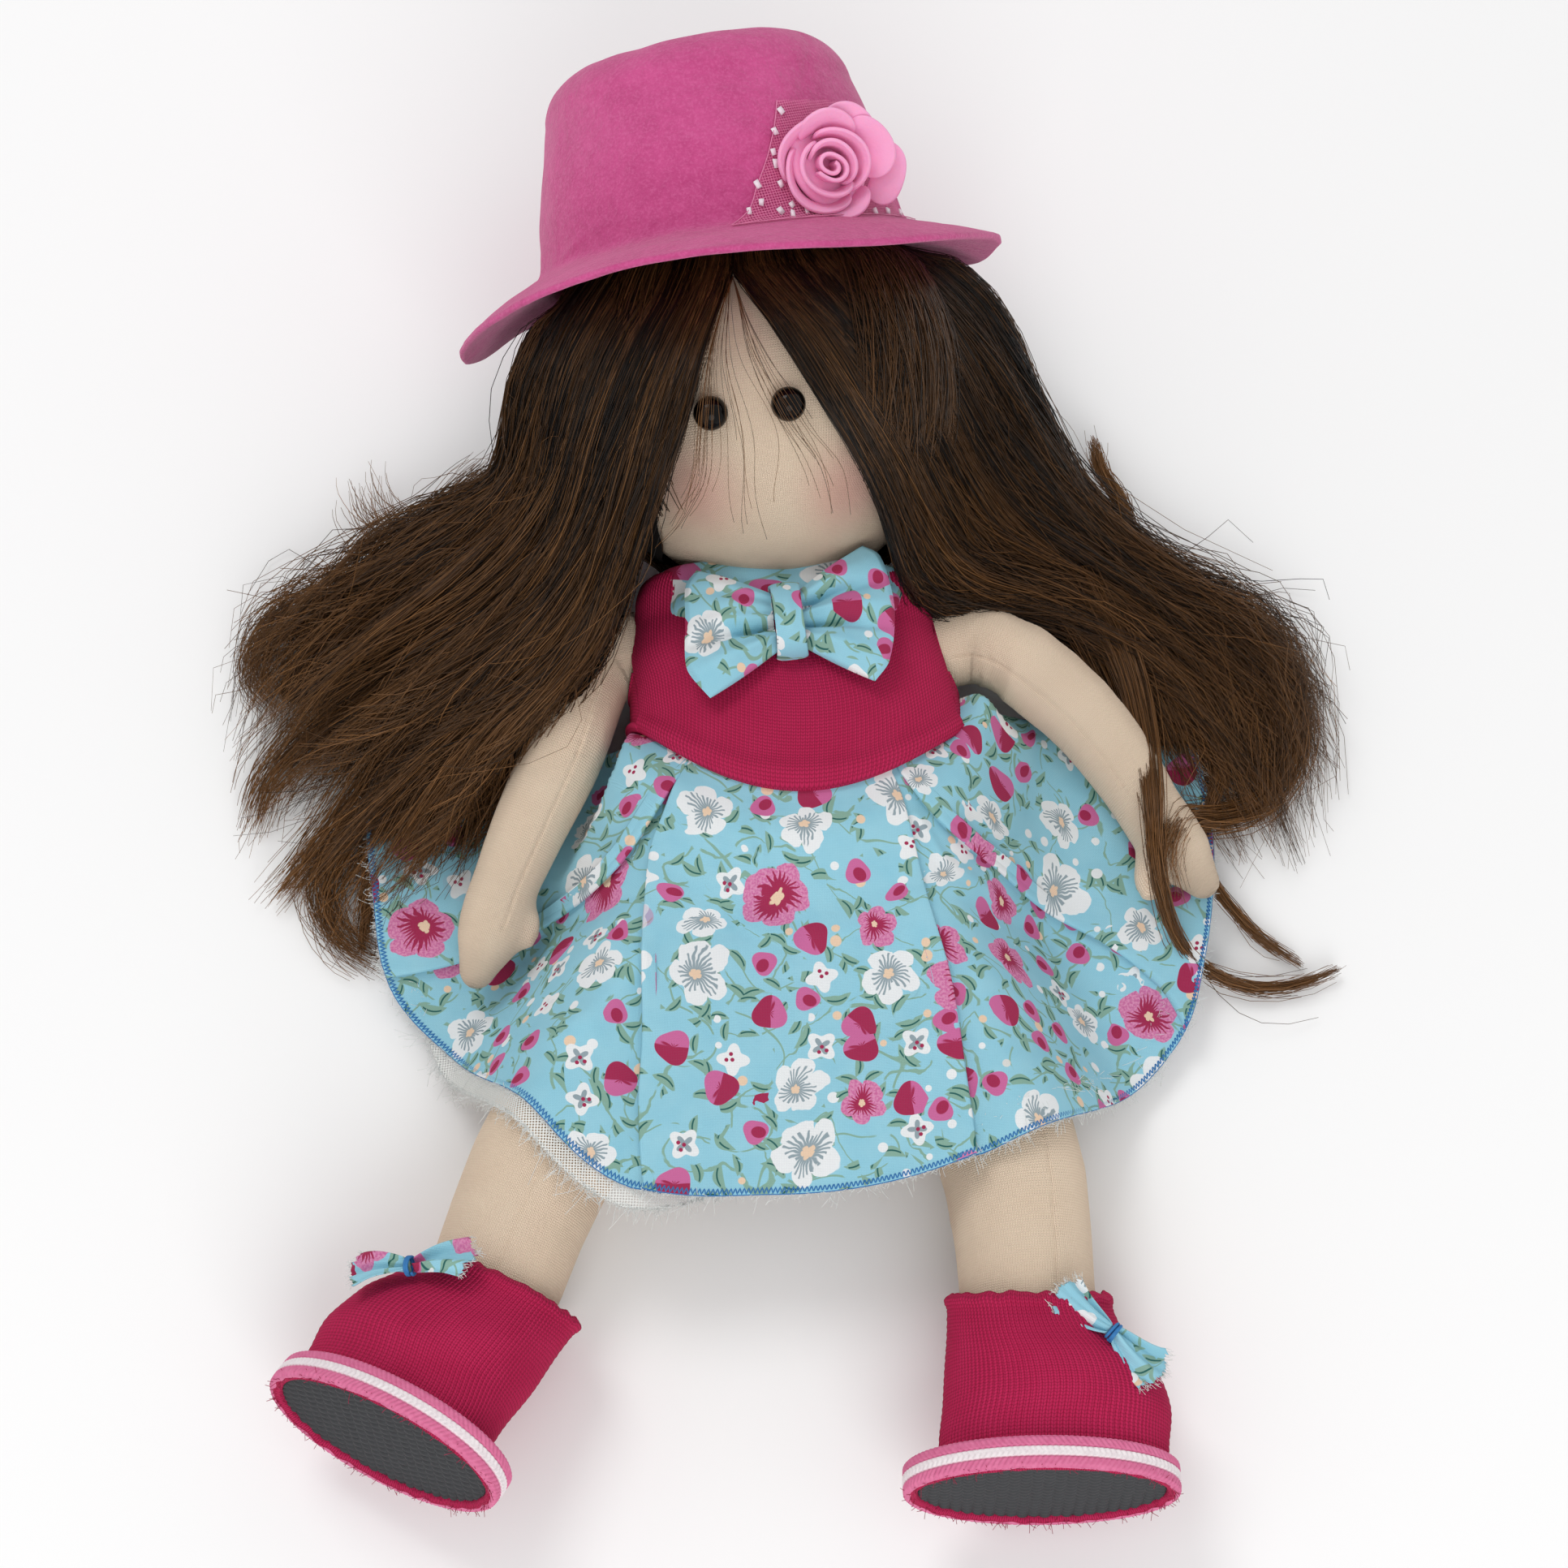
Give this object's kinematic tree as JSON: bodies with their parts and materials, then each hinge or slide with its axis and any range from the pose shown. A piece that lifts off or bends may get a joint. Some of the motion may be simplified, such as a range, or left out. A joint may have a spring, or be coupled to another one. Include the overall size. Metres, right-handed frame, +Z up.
{
  "type": "handmade cloth doll",
  "caption": "Stuffed cloth doll with bead eyes, long hair, felt hat with a foam rose, pleated print dress with a bow and knit shoes; head, arms and legs turn, the hat lifts off.",
  "frame": {"origin": "middle of the flat back of the bodice, on the surface that the doll lies on", "axes": "+Z up from that surface, out through the doll's front; +Y from the feet towards the hat; +X to the doll's left"},
  "size_m": [0.3178, 0.4354, 0.1481],
  "materials": {
    "skin_knit": "matte knit",
    "crimson_rib_knit": "matte rib knit",
    "floral_cotton": "matte printed cotton",
    "white_gauze": "matte gauze",
    "pink_felt": "felt",
    "pink_net": "net",
    "pink_foam": "matte foam",
    "black_bead": "polished",
    "brown_hair": "fibre",
    "pink_braid": "woven braid",
    "insole_card": "matte",
    "charcoal_sole": "matte textured"
  },
  "bodies": {
    "torso": {"torso": "skin_knit", "bodice": "crimson_rib_knit", "collar": "floral_cotton", "skirt": "floral_cotton", "petticoat": "white_gauze", "bow_wings": "floral_cotton", "bow_band": "floral_cotton"},
    "head": {"head": "skin_knit", "eye_left": "black_bead", "eye_right": "black_bead", "hair_cap": "brown_hair", "hair_front_right": "brown_hair", "hair_side_right": "brown_hair", "hair_fan_right": "brown_hair", "hair_end_right": "brown_hair", "hair_front_left": "brown_hair", "hair_side_left": "brown_hair", "hair_fan_left": "brown_hair", "hair_end_left": "brown_hair", "hair_wisp_left": "brown_hair"},
    "hat": {"hat": "pink_felt", "hat_net": "pink_net", "rose_base": "pink_foam", "rose_heart": "pink_foam", "rose_petal_1": "pink_foam", "rose_petal_2": "pink_foam", "rose_petal_3": "pink_foam", "rose_petal_4": "pink_foam", "rose_petal_5": "pink_foam"},
    "arm_left": {"arm_left": "skin_knit"},
    "arm_right": {"arm_right": "skin_knit"},
    "leg_left": {"leg_left": "skin_knit", "shoe_upper_left": "crimson_rib_knit", "shoe_braid_left": "pink_braid", "insole_left": "insole_card", "sole_left": "charcoal_sole", "shoe_bow_left": "floral_cotton"},
    "leg_right": {"leg_right": "skin_knit", "shoe_upper_right": "crimson_rib_knit", "shoe_braid_right": "pink_braid", "insole_right": "insole_card", "sole_right": "charcoal_sole", "shoe_bow_right": "floral_cotton"}
  },
  "joints": [
    {"name": "neck_turn", "type": "hinge", "parent": "torso", "child": "head", "pos_m": [0.0012, 0.057, 0.0396], "axis": [-0.1043, 0.9248, 0.3658], "range_deg": [-20, 20], "deforming": ["hair_front_right", "hair_side_right", "hair_fan_right", "hair_end_right", "hair_front_left", "hair_side_left", "hair_fan_left", "hair_end_left", "hair_wisp_left"]},
    {"name": "shoulder_left", "type": "hinge", "parent": "torso", "child": "arm_left", "pos_m": [0.037, 0.042, 0.03], "axis": [-1, 0, 0], "range_deg": [0, 110]},
    {"name": "shoulder_right", "type": "hinge", "parent": "torso", "child": "arm_right", "pos_m": [-0.037, 0.042, 0.03], "axis": [-1, 0, 0], "range_deg": [0, 110]},
    {"name": "hip_left", "type": "hinge", "parent": "torso", "child": "leg_left", "pos_m": [0.035, -0.042, 0.026], "axis": [-1, 0, 0], "range_deg": [0, 90], "deforming": ["skirt", "petticoat"]},
    {"name": "hip_right", "type": "hinge", "parent": "torso", "child": "leg_right", "pos_m": [-0.03, -0.042, 0.026], "axis": [-1, 0, 0], "range_deg": [0, 90], "deforming": ["skirt", "petticoat"]},
    {"name": "hat_lift", "type": "slide", "parent": "head", "child": "hat", "axis": [-0.1646, 0.9188, 0.3588], "range_m": [0, 0.12]}
  ]
}
